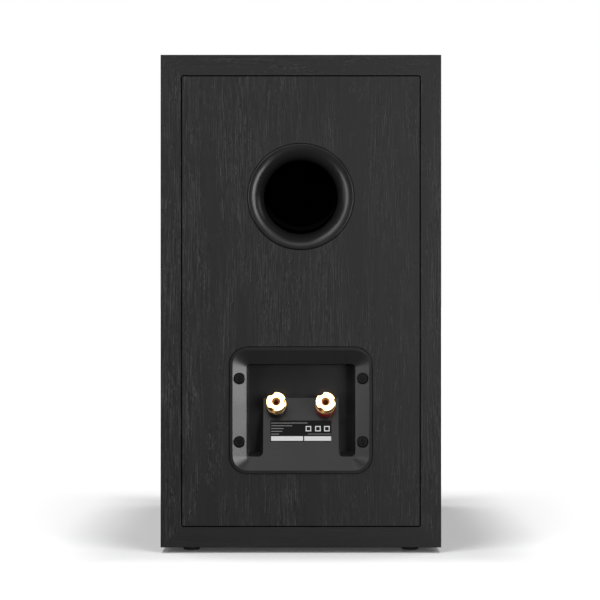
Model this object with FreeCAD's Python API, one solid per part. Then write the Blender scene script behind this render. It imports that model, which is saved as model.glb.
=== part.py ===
import FreeCAD, Part
import math
import os

# Two-way rear-ported bookshelf loudspeaker, in millimetres.
# +Z is up, the drivers face -Y and the terminals face +Y.
# The origin lies under the centre of the bounding box, on the plane of the feet.
V = FreeCAD.Vector

# --- cabinet ---
WIDTH = 200.0
HEIGHT = 351.0
DEPTH = 298.0
PANEL = 15.0
BAFFLE = 18.0
EDGE_ROUND = 0.4
BAFFLE_ROUND = 2.5
GROOVE_HALF = 0.45
GROOVE_DEPTH = 1.6
GROOVE_CORNER = 1.3
FOOT_HEIGHT = 4.0
FOOT_RADIUS = 6.0
FOOT_CHAMFER = 0.8
FOOT_INSET = 21.0
FOOT_FRONT_INSET = 32.0
BRACE = 12.0
BRACE_MARGIN = 28.0
PAD = 12.0

# --- reflex port, depths measured into the cabinet from the rear plane ---
PORT_BELOW_TOP = 101.0
PORT_FLANGE_RADIUS = 38.0
PORT_LIP = 1.0
PORT_PROUD = 0.8
PORT_RADIUS = 26.4
PORT_FLARE = 10.4
PORT_WALL = 2.5
PORT_LENGTH = 118.0
PORT_SEAT = 2.2
PORT_SEAM = 0.25

# --- terminal cup: x and height v from its centre, depth d into the cabinet ---
CUP_ABOVE_BOTTOM = 97.8
CUP_OUTER = (101.3, 90.0, 12.8)
CUP_FACE = (97.7, 86.1, 11.0)
CUP_RIM = 0.25
CUP_SEAM = 0.4
CUP_SEAM_DEPTH = 0.9
CUP_PROUD = 2.0
CUP_EDGE_CUT = 0.15
CUP_FLANGE = 2.2
CUP_PLUG = (98.0, 86.0, 11.2)
RECESS_HALF = 38.8
RECESS_TOP = 33.0
RECESS_FLOOR = -33.3
RECESS_LIP_DEPTH = 0.7
RECESS_DEPTH = 17.5
RECESS_DRAFT = 1.1
RECESS_RADIUS = 3.0
CHANNEL_DRAFT = 2.1
CUP_WALL = 2.2
GASKET = 1.0
TONGUE_TILT = math.radians(20.0)
TONGUE_HALF = 27.0
TONGUE_LENGTH = 54.2
TONGUE_WALL = 2.5
CUP_SCREW_X = 43.85
CUP_SCREW_Z = 22.55
CUP_SCREW_SEAT = 0.3
SCREW_POCKET_RADIUS = 4.25
PILOT_RADIUS = 1.7
LABEL = (43.8, 15.6, 0.2)
LABEL_ALONG = 29.4

# --- binding posts, lengths w along the post from the tongue's face ---
POST_X = 17.6
POST_ALONG = 46.8
BUSH_RADIUS = 5.0
BASE_RADIUS = 7.5
BASE_LENGTH = 6.6
WASHER_RADIUS = 7.0
WASHER = 0.55
SEAT_GAP = 0.05
CAP_RADIUS = 7.1
CAP_COLLAR_RADIUS = 7.4
CAP_COLLAR = 2.6
CAP_END = 15.4
CAP_CHAMFER = 0.25
CAP_LIP = 1.6
CAP_HOLE_RADIUS = 2.35
CAP_SINK = 0.75
CAP_SINK_DEPTH = 1.2
SCALLOP_RADIUS = 4.0
SCALLOP_OFFSET = 9.5
STUD_RADIUS = 3.0
STUD_END = 13.4
STUD_INNER = -11.0
BANANA_RADIUS = 2.0
BANANA_DEPTH = 16.0
RUNNING_GAP = 0.05
NUT_FLATS = 10.0
NUT = 3.2
TAB = 0.8

# --- woofer, depths measured into the cabinet from the baffle's face ---
WOOFER_UP = 113.0
WOOFER_FLANGE_RADIUS = 86.0
WOOFER_FLANGE = 5.0
WOOFER_CUTOUT = 74.5
WOOFER_SCREWS = 6
WOOFER_SCREW_CIRCLE = 81.2
SURROUND_INNER = 58.0
SURROUND_OUTER = 70.0
SURROUND_ROLL = 6.0
COIL_RADIUS = 17.2
BASKET_BACK = 48.0
TOP_PLATE = 6.0
WOOFER_MAGNET = 18.0
YOKE = 6.0

# --- tweeter ---
TWEETER_UP = 270.0
TWEETER_FACE_RADIUS = 52.0
TWEETER_FACE = 4.0
TWEETER_CUTOUT = 38.0
TWEETER_SCREW_CIRCLE = 45.0
DOME_RADIUS = 14.0

# --- grille ---
GRILLE = (194.0, 345.0, 6.0)
GRILLE_DEPTH = 13.0
CLOTH = 0.8
GRILLE_GAP = 0.8
WINDOW_HALF = 80.0
WINDOW_CORNER = 5.0
WOOFER_WINDOW = (37.0, 197.0)
TWEETER_WINDOW = (215.0, 325.0)
PEG_X = 86.0
PEG_LOW = 18.0
PEG_HIGH = 333.0
PEG_RADIUS = 3.5
PEG_INTO = 9.0
SOCKET_RADIUS = 6.0
SOCKET_DEPTH = 12.0

# --- crossover ---
BOARD = (90.0, 80.0, 1.6)
BOARD_LIFT = 5.0
BOARD_MIDDLE_Y = 60.0
LEAD_RADIUS = 1.1

# --- places worked out from the sizes above ---
SIN = math.sin(TONGUE_TILT)
COS = math.cos(TONGUE_TILT)
POST_DEPTH = POST_ALONG * SIN - CUP_PROUD
CAP_OVERHANG = CAP_END * COS + (CAP_RADIUS - CAP_CHAMFER) * SIN - POST_DEPTH
REAR = (DEPTH + GRILLE_DEPTH + CAP_OVERHANG) / 2.0 - CAP_OVERHANG
FRONT = REAR - DEPTH
BOTTOM = FOOT_HEIGHT
TOP = BOTTOM + HEIGHT
HALF = WIDTH / 2.0
INNER = HALF - PANEL
FLOOR = BOTTOM + PANEL
CEILING = TOP - PANEL
PORT_Z = TOP - PORT_BELOW_TOP
CUP_Z = BOTTOM + CUP_ABOVE_BOTTOM
WOOFER_Z = BOTTOM + WOOFER_UP
TWEETER_Z = BOTTOM + TWEETER_UP
GRILLE_Z = BOTTOM + HEIGHT / 2.0
FACE_BOTTOM = -CUP_FACE[1] / 2.0
DISH_BOTTOM = FACE_BOTTOM + (CUP_PROUD + RECESS_LIP_DEPTH) / math.tan(TONGUE_TILT)
CUP_BACK = RECESS_DEPTH + CUP_WALL
POCKET = CUP_FLANGE + GASKET
CAP_START = BASE_LENGTH + 2.0 * SEAT_GAP + WASHER
COIL_INNER = COIL_RADIUS - 0.9
MAGNET_START = BASKET_BACK + TOP_PLATE
YOKE_START = MAGNET_START + WOOFER_MAGNET
BOARD_Z = FLOOR + BOARD_LIFT
BOARD_TOP = BOARD_Z + BOARD[2]
BRACE_Z = BOTTOM + 205.0

parts = {}


# --- helpers ---
def box(x, y, z):
    """A block between the low and high values of each pair."""
    corner = V(x[0], y[0], z[0])
    return Part.makeBox(x[1] - x[0], y[1] - y[0], z[1] - z[0], corner)


def rod(radius, x, z, y):
    """A cylinder along Y between the two values of y."""
    return Part.makeCylinder(radius, y[1] - y[0], V(x, y[0], z), V(0, 1, 0))


def closed_wire(steps, place):
    """A closed wire: a step is a point, or a middle and an end point of an arc."""
    edges = []
    here = place(*steps[0])
    for step in steps[1:] + [steps[0]]:
        if isinstance(step[0], tuple):
            middle = place(*step[0])
            there = place(*step[1])
            edges.append(Part.Arc(here, middle, there).toShape())
        else:
            there = place(*step)
            if (there - here).Length > 1e-6:
                edges.append(Part.makeLine(here, there))
        here = there
    return Part.Wire(edges)


def turned(steps, z, y, inward, x=0.0):
    """A ring turned about Y: steps hold radius and depth, and depth runs along inward."""
    face = Part.Face(closed_wire(steps, lambda r, d: V(r, inward * d, 0)))
    solid = face.revolve(V(0, 0, 0), V(0, 1, 0), 360)
    solid.translate(V(x, y, z))
    return solid


def from_front(steps, z):
    """A turned piece of a driver, with depths behind the baffle's face."""
    return turned(steps, z, FRONT, 1)


def tube(inner, outer, start, end):
    """The section of a plain ring."""
    return [(inner, start), (outer, start), (outer, end), (inner, end)]


def dome_middle(apex, rim):
    """The middle point of a dome's section, whose sphere is centred on the axis."""
    radius, depth = rim
    rise = depth - apex
    sphere = (radius * radius + rise * rise) / (2.0 * rise)
    half = radius / 2.0
    return (half, apex + sphere - math.sqrt(sphere * sphere - half * half))


def dome_shell(apex, rim, foot, inner_apex):
    """The section of a thin dome from its outer apex over the rim and foot back."""
    return [
        (0, apex),
        (dome_middle(apex, rim), rim),
        foot,
        (dome_middle(inner_apex, foot), (0, inner_apex)),
    ]


def rounded(x, v, radii):
    """Steps round a rectangle from its low right corner, leftwards last."""
    turns = [
        ((x[1], v[0]), (1, 0), (0, 1)),
        ((x[1], v[1]), (0, 1), (-1, 0)),
        ((x[0], v[1]), (-1, 0), (0, -1)),
        ((x[0], v[0]), (0, -1), (1, 0)),
    ]
    share = 1.0 - math.sqrt(0.5)
    steps = []
    for (corner, into, out), radius in zip(turns, radii):
        start = (corner[0] - radius * into[0], corner[1] - radius * into[1])
        end = (corner[0] + radius * out[0], corner[1] + radius * out[1])
        middle = (
            corner[0] + radius * share * (out[0] - into[0]),
            corner[1] + radius * share * (out[1] - into[1]),
        )
        steps.append(start)
        if radius > 0:
            steps.append((middle, end))
    return steps


def centred(size):
    """Steps round a rounded rectangle of width, height and corner radius."""
    half_x = size[0] / 2.0
    half_v = size[1] / 2.0
    return rounded((-half_x, half_x), (-half_v, half_v), [size[2]] * 4)


def cup_wire(steps, depth):
    """A wire in a plane parallel to the rear face, about the cup's centre."""
    return closed_wire(steps, lambda x, v: V(x, REAR - depth, CUP_Z + v))


def cup_block(steps, start, end):
    """A straight block of the terminal cup between two depths."""
    face = Part.Face(cup_wire(steps, start))
    return face.extrude(V(0, start - end, 0))


def cup_taper(steps, start, end_steps, end):
    """A tapered block of the terminal cup between two outlines and depths."""
    return Part.makeLoft([cup_wire(steps, start), cup_wire(end_steps, end)], True, True)


def cup_prism(points, half_x):
    """A block across the cup from an outline in height and depth."""
    face = Part.Face(closed_wire(points, lambda v, d: V(-half_x, REAR - d, CUP_Z + v)))
    return face.extrude(V(2.0 * half_x, 0, 0))


def on_tongue(shape, along, x=0.0):
    """Moves a piece built on +Z to stand on the sloping tongue."""
    shape.rotate(V(0, 0, 0), V(1, 0, 0), math.degrees(TONGUE_TILT) - 90.0)
    depth = along * SIN - CUP_PROUD
    shape.translate(V(x, REAR - depth, CUP_Z + FACE_BOTTOM + along * COS))
    return shape


def upright(radius, start, end):
    """A cylinder on the Z axis between two heights."""
    return Part.makeCylinder(radius, end - start, V(0, 0, start))


def washer_ring(inner, outer, start, end):
    """A ring on the Z axis between two heights."""
    return upright(outer, start, end).cut(upright(inner, start, end))


def screw(x, z, seat, inward, head_radius, length, turn=20.0):
    """A cross-recess pan-head wood screw whose head rests on the plane y = seat."""
    height = head_radius * 0.4
    steps = [
        (0, -height),
        (head_radius * 0.7, -height),
        ((head_radius * 0.91, -height * 0.84), (head_radius, -height * 0.4)),
        (head_radius, 0),
        (PILOT_RADIUS, 0),
        (PILOT_RADIUS, length - PILOT_RADIUS),
        (0, length),
    ]
    solid = turned(steps, z, seat, inward, x)
    arm = head_radius * 0.52
    blade = head_radius * 0.11
    slot_y = sorted((seat - inward * height * 1.1, seat - inward * height * 0.25))
    for angle in (turn, turn + 90.0):
        slot = box((x - arm, x + arm), slot_y, (z - blade, z + blade))
        slot.rotate(V(x, seat, z), V(0, 1, 0), angle)
        solid = solid.cut(slot)
    return solid


def around(count, radius, offset_degrees=0.0):
    """Places of x and z evenly spaced on a circle."""
    places = []
    for index in range(count):
        angle = math.radians(offset_degrees + 360.0 * index / count)
        places.append((radius * math.cos(angle), radius * math.sin(angle)))
    return places


def lead(points):
    """A round wire along straight runs joined by the largest tangent arcs that fit."""
    edges = []
    here = points[0]
    for index in range(1, len(points) - 1):
        before = points[index] - points[index - 1]
        after = points[index + 1] - points[index]
        turn = before.getAngle(after)
        share = 0.45 * min(before.Length, after.Length)
        into = V(before).normalize()
        out = V(after).normalize()
        start = points[index] - into * share
        end = points[index] + out * share
        radius = share / math.tan(turn / 2.0)
        middle_gap = radius / math.cos(turn / 2.0) - radius
        inwards = (out - into).normalize()
        edges.append(Part.makeLine(here, start))
        edges.append(Part.Arc(start, points[index] + inwards * middle_gap, end).toShape())
        here = end
    edges.append(Part.makeLine(here, points[-1]))
    path = Part.Wire(edges)
    first = points[1] - points[0]
    section = Part.Wire(Part.makeCircle(LEAD_RADIUS, points[0], first))
    return path.makePipeShell([section], True, False)


def group(solids):
    """Several separate solids in one node."""
    return Part.makeCompound(solids)


# --- cabinet ---
def groove_tool():
    """The shadow groove between the rear panel and the four wrapped panels."""
    middle = BOTTOM + HEIGHT / 2.0

    def slab(grow):
        size = (2.0 * (INNER + grow), HEIGHT - 2.0 * (PANEL - grow), GROOVE_CORNER + grow)
        wire = closed_wire(centred(size), lambda x, v: V(x, REAR, middle + v))
        return Part.Face(wire).extrude(V(0, -GROOVE_DEPTH, 0))

    return slab(GROOVE_HALF).cut(slab(-GROOVE_HALF))


def wrapped_panels():
    """Top, bottom and sides, mitred where they meet."""
    start = FRONT + BAFFLE
    outer = box((-HALF, HALF), (start, REAR), (BOTTOM, TOP))
    soft = []
    for edge in outer.Edges:
        along_y = edge.BoundBox.YLength > 1.0
        at_rear = edge.BoundBox.YMin > REAR - 1.0
        if along_y or at_rear:
            soft.append(edge)
    outer = outer.makeFillet(EDGE_ROUND, soft)
    inner = box((-INNER, INNER), (start, REAR), (FLOOR, CEILING))
    ring = outer.cut(inner).cut(groove_tool())
    reach = 2.0 * PANEL
    high = [(-HALF - 1, TOP + 1), (HALF + 1, TOP + 1)]
    high += [(HALF - reach, TOP - reach), (-HALF + reach, TOP - reach)]
    low = [(x, BOTTOM + TOP - z) for x, z in high]
    left = [high[0], high[3], low[3], low[0]]
    right = [(-x, z) for x, z in left]
    names = ("top_panel", "bottom_panel", "left_side_panel", "right_side_panel")
    for name, corners in zip(names, (high, low, left, right)):
        face = Part.Face(closed_wire(corners, lambda x, z: V(x, start, z)))
        parts[name] = ring.common(face.extrude(V(0, DEPTH - BAFFLE, 0)))
    pilot = foot_places()
    for x, y in pilot:
        hole = Part.makeCylinder(PILOT_RADIUS, 8.0, V(x, y, BOTTOM))
        parts["bottom_panel"] = parts["bottom_panel"].cut(hole)


def rear_panel():
    """The inset rear panel with the seats of the port and the terminal cup."""
    panel = box((-INNER, INNER), (REAR - PANEL, REAR), (FLOOR, CEILING))
    panel = panel.cut(groove_tool())
    seat_radius = PORT_FLANGE_RADIUS + PORT_SEAM
    panel = panel.cut(rod(seat_radius, 0, PORT_Z, (REAR - PORT_SEAT, REAR)))
    hole_radius = PORT_FLANGE_RADIUS - 2.4
    panel = panel.cut(rod(hole_radius, 0, PORT_Z, (REAR - PANEL, REAR)))
    plug = (CUP_PLUG[0] + 0.4, CUP_PLUG[1] + 0.4, CUP_PLUG[2] + 0.2)
    panel = panel.cut(cup_block(centred(plug), 0, POCKET))
    seam = [length + 2.0 * CUP_SEAM for length in CUP_OUTER[:2]]
    seam = centred((seam[0], seam[1], CUP_OUTER[2] + CUP_SEAM))
    panel = panel.cut(cup_block(seam, 0, CUP_SEAM_DEPTH))
    reach = CUP_WALL + 0.5
    cut = rounded(
        (-RECESS_HALF - reach, RECESS_HALF + reach),
        (RECESS_FLOOR - reach, RECESS_TOP + reach),
        [4.0] * 4,
    )
    panel = panel.cut(cup_block(cut, 0, PANEL))
    for x, z in cup_screw_places():
        panel = panel.cut(rod(PILOT_RADIUS, x, z, (REAR - PANEL + 1.0, REAR)))
    parts["rear_panel"] = panel


def front_baffle():
    """The front board with the rebates of both drivers and the grille sockets."""
    board = box((-HALF, HALF), (FRONT, FRONT + BAFFLE), (BOTTOM, TOP))
    soft = []
    for edge in board.Edges:
        if edge.BoundBox.YMax < FRONT + 1.0:
            soft.append(edge)
    board = board.makeFillet(BAFFLE_ROUND, soft)
    through = (FRONT, FRONT + BAFFLE)
    board = board.cut(rod(WOOFER_CUTOUT, 0, WOOFER_Z, through))
    seat = (FRONT, FRONT + WOOFER_FLANGE)
    board = board.cut(rod(WOOFER_FLANGE_RADIUS + 0.3, 0, WOOFER_Z, seat))
    board = board.cut(rod(TWEETER_CUTOUT, 0, TWEETER_Z, through))
    seat = (FRONT, FRONT + TWEETER_FACE)
    board = board.cut(rod(TWEETER_FACE_RADIUS + 0.3, 0, TWEETER_Z, seat))
    pilot = (FRONT, FRONT + BAFFLE - 1.0)
    for x, z in around(WOOFER_SCREWS, WOOFER_SCREW_CIRCLE, 30.0):
        board = board.cut(rod(PILOT_RADIUS, x, WOOFER_Z + z, pilot))
    for x, z in around(4, TWEETER_SCREW_CIRCLE, 45.0):
        board = board.cut(rod(PILOT_RADIUS, x, TWEETER_Z + z, pilot))
    for x, z in peg_places():
        board = board.cut(rod(SOCKET_RADIUS, x, z, (FRONT, FRONT + SOCKET_DEPTH)))
    parts["front_baffle"] = board


def shelf_brace():
    """A window brace across the cabinet between the drivers."""
    y = (FRONT + BAFFLE, REAR - PANEL)
    plate = box((-INNER, INNER), y, (BRACE_Z, BRACE_Z + BRACE))
    gap = (y[0] + BRACE_MARGIN, y[1] - BRACE_MARGIN)
    window = box(
        (-INNER + BRACE_MARGIN, INNER - BRACE_MARGIN),
        gap,
        (BRACE_Z, BRACE_Z + BRACE),
    )
    upright_edges = [edge for edge in window.Edges if edge.BoundBox.ZLength > 1.0]
    parts["shelf_brace"] = plate.cut(window.makeFillet(12.0, upright_edges))


def damping_pads():
    """Wadding on both side walls below the brace and under the top."""
    y = (FRONT + 60.0, REAR - 45.0)
    low = (FLOOR + 12.0, BRACE_Z - 8.0)
    high = (CEILING - PAD, CEILING)
    solids = [
        box((-INNER, -INNER + PAD), y, low),
        box((INNER - PAD, INNER), y, low),
        box((-INNER + 10.0, INNER - 10.0), y, high),
    ]
    parts["damping_pads"] = group(solids)


def foot_places():
    """The four feet, with the front pair set back behind the baffle."""
    x = HALF - FOOT_INSET
    return [
        (side * x, y)
        for side in (-1, 1)
        for y in (FRONT + FOOT_FRONT_INSET, REAR - FOOT_INSET)
    ]


def rubber_feet():
    """Turned feet with a spigot up into the bottom panel."""
    steps = [
        (0, 0),
        (FOOT_RADIUS - FOOT_CHAMFER, 0),
        ((FOOT_RADIUS - 0.25, 0.25), (FOOT_RADIUS, FOOT_CHAMFER)),
        (FOOT_RADIUS, FOOT_HEIGHT),
        (PILOT_RADIUS, FOOT_HEIGHT),
        (PILOT_RADIUS, FOOT_HEIGHT + 7.0),
        (0, FOOT_HEIGHT + 7.0),
    ]
    solids = []
    for x, y in foot_places():
        face = Part.Face(closed_wire(steps, lambda r, h: V(r, 0, h)))
        solid = face.revolve(V(0, 0, 0), V(0, 0, 1), 360)
        solid.translate(V(x, y, 0))
        solids.append(solid)
    parts["rubber_feet"] = group(solids)


# --- reflex port ---
def port_tube():
    """The flared port: a seated flange, a quarter-round mouth and a straight tube."""
    mouth = PORT_RADIUS + PORT_FLARE
    half = PORT_FLARE * math.sqrt(0.5)
    face = -PORT_PROUD
    outer = PORT_RADIUS + PORT_WALL
    bend = PORT_LIP * (1.0 - math.sqrt(0.5))
    steps = [
        (mouth, face),
        ((mouth - half, face + PORT_FLARE - half), (PORT_RADIUS, face + PORT_FLARE)),
        (PORT_RADIUS, PORT_LENGTH),
        (outer, PORT_LENGTH),
        (outer, PORT_FLARE + 2.0),
        ((outer + 1.7, 6.4), (PORT_FLANGE_RADIUS - 3.0, PORT_SEAT)),
        (PORT_FLANGE_RADIUS, PORT_SEAT),
        (PORT_FLANGE_RADIUS, face + PORT_LIP),
        ((PORT_FLANGE_RADIUS - bend, face + bend), (PORT_FLANGE_RADIUS - PORT_LIP, face)),
    ]
    parts["port_tube"] = turned(steps, PORT_Z, REAR, -1)


# --- terminal cup ---
def cup_screw_places():
    """The four screws of the terminal cup."""
    return [
        (x, CUP_Z + v)
        for x in (-CUP_SCREW_X, CUP_SCREW_X)
        for v in (-CUP_SCREW_Z, CUP_SCREW_Z)
    ]


def tongue_point(along, inward=0.0):
    """Height and depth of a point on the tongue, or behind it."""
    v = FACE_BOTTOM + along * COS - inward * SIN
    depth = along * SIN - CUP_PROUD + inward * COS
    return (v, depth)


def cup_body():
    """The moulding before anything is hollowed out of it."""
    width, height, radius = CUP_OUTER
    trim = 2.0 * CUP_EDGE_CUT
    face = centred((width - trim, height - trim, radius - CUP_EDGE_CUT))
    shoulder = CUP_EDGE_CUT - CUP_PROUD
    edge = cup_block(centred(CUP_OUTER), shoulder, 0)
    rim = cup_taper(face, -CUP_PROUD, centred(CUP_OUTER), shoulder)
    plug = cup_block(centred(CUP_PLUG), 0, CUP_FLANGE)
    walls = rounded(
        (-RECESS_HALF - CUP_WALL, RECESS_HALF + CUP_WALL),
        (RECESS_FLOOR - CUP_WALL, RECESS_TOP + CUP_WALL),
        [RECESS_RADIUS] * 4,
    )
    return edge.fuse([rim, plug, cup_block(walls, CUP_FLANGE, CUP_BACK)])


def dish_tool():
    """The sloping border that leads from the rim down to the recess."""
    outer = (CUP_FACE[0] - 2 * CUP_RIM, CUP_FACE[1] - 2 * CUP_RIM, CUP_FACE[2] - CUP_RIM)
    inner = rounded(
        (-RECESS_HALF, RECESS_HALF), (DISH_BOTTOM, RECESS_TOP), [RECESS_RADIUS] * 4
    )
    return cup_taper(centred(outer), -CUP_PROUD, inner, RECESS_LIP_DEPTH)


def slope_tool():
    """The space in front of the sloping tongue."""
    inner = rounded(
        (-RECESS_HALF, RECESS_HALF), (DISH_BOTTOM, RECESS_TOP), [RECESS_RADIUS] * 4
    )
    space = cup_block(inner, RECESS_LIP_DEPTH, RECESS_DEPTH)
    low = tongue_point((CUP_PROUD + RECESS_LIP_DEPTH) / SIN)
    high = tongue_point(TONGUE_LENGTH)
    wedge = cup_prism([low, high, (high[0], RECESS_LIP_DEPTH)], RECESS_HALF)
    narrow = RECESS_HALF - RECESS_DRAFT
    drafted = cup_taper(
        inner,
        RECESS_LIP_DEPTH,
        rounded((-narrow, narrow), (DISH_BOTTOM, RECESS_TOP), [RECESS_RADIUS] * 4),
        RECESS_DEPTH,
    )
    return space.common(wedge).common(drafted)


def upper_tool():
    """The deep part of the recess above the tongue, narrowing inwards."""
    floor = tongue_point(TONGUE_LENGTH)[0]
    radii = [0, RECESS_RADIUS, RECESS_RADIUS, 0]
    wide = RECESS_HALF
    narrow = RECESS_HALF - RECESS_DRAFT
    return cup_taper(
        rounded((-wide, wide), (floor, RECESS_TOP), radii),
        RECESS_LIP_DEPTH,
        rounded((-narrow, narrow), (floor, RECESS_TOP - RECESS_DRAFT), radii),
        RECESS_DEPTH,
    )


def channel_tool(side):
    """The deep channel beside the tongue, down to its rounded floor."""
    top = tongue_point(TONGUE_LENGTH)[0] + 8.0
    radii = [RECESS_RADIUS] * 4

    def ends(half):
        return sorted((side * TONGUE_HALF, side * half))

    return cup_taper(
        rounded(ends(RECESS_HALF), (RECESS_FLOOR, top), radii),
        RECESS_LIP_DEPTH,
        rounded(
            ends(RECESS_HALF - RECESS_DRAFT), (RECESS_FLOOR + CHANNEL_DRAFT, top), radii
        ),
        RECESS_DEPTH,
    )


def tongue_pocket():
    """The hollow behind the tongue, which leaves a wall of even thickness."""
    reach = (CUP_BACK + CUP_PROUD - TONGUE_WALL * COS) / SIN
    low = tongue_point(14.0, TONGUE_WALL)
    high = tongue_point(reach, TONGUE_WALL)
    return cup_prism([low, high, (low[0], CUP_BACK)], TONGUE_HALF - CUP_WALL)


def terminal_cup():
    """The dished moulding that holds both binding posts."""
    cup = cup_body()
    tools = [dish_tool(), slope_tool(), upper_tool()]
    tools += [channel_tool(-1), channel_tool(1), tongue_pocket()]
    for x in (-POST_X, POST_X):
        tools.append(on_tongue(upright(BUSH_RADIUS, -8.0, 1.0), POST_ALONG, x))
    for x, z in cup_screw_places():
        seat = (REAR - CUP_SCREW_SEAT, REAR + CUP_PROUD)
        tools.append(rod(SCREW_POCKET_RADIUS, x, z, seat))
        tools.append(rod(PILOT_RADIUS + 0.3, x, z, (REAR - POCKET, REAR)))
    for tool in tools:
        cup = cup.cut(tool)
    parts["terminal_cup"] = cup.removeSplitter()


def terminal_gasket():
    """A foam ring between the cup's flange and its seat in the rear panel."""
    outer = cup_block(centred(CUP_PLUG), CUP_FLANGE, POCKET)
    reach = CUP_WALL + 0.5
    inner = rounded(
        (-RECESS_HALF - reach, RECESS_HALF + reach),
        (RECESS_FLOOR - reach, RECESS_TOP + reach),
        [4.0] * 4,
    )
    ring = outer.cut(cup_block(inner, CUP_FLANGE, POCKET))
    for x, z in cup_screw_places():
        ring = ring.cut(rod(PILOT_RADIUS + 0.3, x, z, (REAR - POCKET, REAR)))
    parts["terminal_gasket"] = ring


def terminal_screws():
    """Four cross-recess screws that hold the cup to the rear panel."""
    seat = REAR - CUP_SCREW_SEAT
    solids = []
    for index, (x, z) in enumerate(cup_screw_places()):
        solids.append(screw(x, z, seat, -1, 3.9, 12.5, 15.0 + 25.0 * index))
    parts["terminal_screws"] = group(solids)


def rating_label():
    """A thin blank label on the tongue below the posts."""
    width, height, thick = LABEL
    plate = Part.makeBox(width, height, thick, V(-width / 2.0, -height / 2.0, 0))
    parts["rating_label"] = on_tongue(plate, LABEL_ALONG)


# --- binding posts ---
def post_base(x):
    """A coloured collar with its insulating bush through the tongue."""
    body = upright(BASE_RADIUS, 0, BASE_LENGTH)
    ends = [edge for edge in body.Edges if edge.BoundBox.ZLength < 0.01]
    body = body.makeFillet(0.5, ends)
    body = body.fuse(upright(BUSH_RADIUS, -TONGUE_WALL, 0.2))
    bore = upright(STUD_RADIUS, -TONGUE_WALL, BASE_LENGTH)
    return on_tongue(body.cut(bore), POST_ALONG, x)


def post_stud(x):
    """The threaded stud: an axial socket for a 4 mm plug and a side hole for wire."""
    stud = upright(STUD_RADIUS, STUD_INNER, STUD_END)
    stud = stud.makeChamfer(0.3, [stud.Edges[0], stud.Edges[2]])
    stud = stud.cut(upright(BANANA_RADIUS, STUD_END - BANANA_DEPTH, STUD_END))
    wire_hole = Part.makeCylinder(1.2, 6.0, V(0, 0, CAP_START + 1.2), V(0, 1, 0))
    return on_tongue(stud.cut(wire_hole), POST_ALONG, x)


def clamp_washer(x):
    """The loose washer that presses a bare wire on the collar."""
    start = BASE_LENGTH + SEAT_GAP
    ring = washer_ring(STUD_RADIUS + RUNNING_GAP, WASHER_RADIUS, start, start + WASHER)
    return on_tongue(ring, POST_ALONG, x)


def post_cap(x):
    """The metal cap: a round collar, a grip with three scallops and a lip over the stud."""
    collar = upright(CAP_COLLAR_RADIUS, CAP_START, CAP_START + CAP_COLLAR)
    rims = [edge for edge in collar.Edges if edge.BoundBox.ZLength < 0.01]
    collar = collar.makeFillet(0.5, rims)
    grip = upright(CAP_RADIUS, CAP_START, CAP_END)
    rims = [edge for edge in grip.Edges if edge.BoundBox.ZMin > CAP_END - 0.1]
    grip = grip.makeChamfer(CAP_CHAMFER, rims)
    for angle in (60.0, 180.0, 300.0):
        turn = math.radians(angle)
        base = V(SCALLOP_OFFSET * math.cos(turn), SCALLOP_OFFSET * math.sin(turn), CAP_START)
        scallop = Part.makeCylinder(SCALLOP_RADIUS, CAP_END, base)
        grip = grip.cut(scallop)
    cap = collar.fuse(grip)
    thread = upright(STUD_RADIUS + RUNNING_GAP, CAP_START, CAP_END - CAP_LIP)
    hole = upright(CAP_HOLE_RADIUS, CAP_START, CAP_END)
    base = V(0, 0, CAP_END - CAP_SINK_DEPTH)
    sink = Part.makeCone(CAP_HOLE_RADIUS, CAP_HOLE_RADIUS + CAP_SINK, CAP_SINK_DEPTH, base)
    return on_tongue(cap.cut(thread).cut(hole).cut(sink), POST_ALONG, x)


def post_hardware():
    """The nut and the soldering tab of each post, inside the cabinet."""
    nuts = []
    tabs = []
    back = -TONGUE_WALL
    for x in (-POST_X, POST_X):
        lug = upright(5.4, back - TAB, back)
        lug = lug.fuse(Part.makeBox(4.0, 13.0, TAB, V(-2.0, 0, back - TAB)))
        tabs.append(on_tongue(lug.cut(upright(STUD_RADIUS, back - TAB, back)), POST_ALONG, x))
        corner = NUT_FLATS / math.sqrt(3.0)
        corners = [(px, py) for px, py in around(6, corner)]
        top = back - TAB
        face = Part.Face(closed_wire(corners, lambda a, b: V(a, b, top - NUT)))
        nut = face.extrude(V(0, 0, NUT)).cut(upright(STUD_RADIUS, top - NUT, top))
        nuts.append(on_tongue(nut, POST_ALONG, x))
    parts["post_nuts"] = group(nuts)
    parts["post_solder_tabs"] = group(tabs)


def binding_posts():
    """Both posts; the positive one is on the left as seen from the front."""
    for name, x in (("positive", -POST_X), ("negative", POST_X)):
        parts[name + "_post_base"] = post_base(x)
        parts[name + "_post_stud"] = post_stud(x)
        parts[name + "_clamp_washer"] = clamp_washer(x)
        parts[name + "_post_cap"] = post_cap(x)
    post_hardware()


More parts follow.
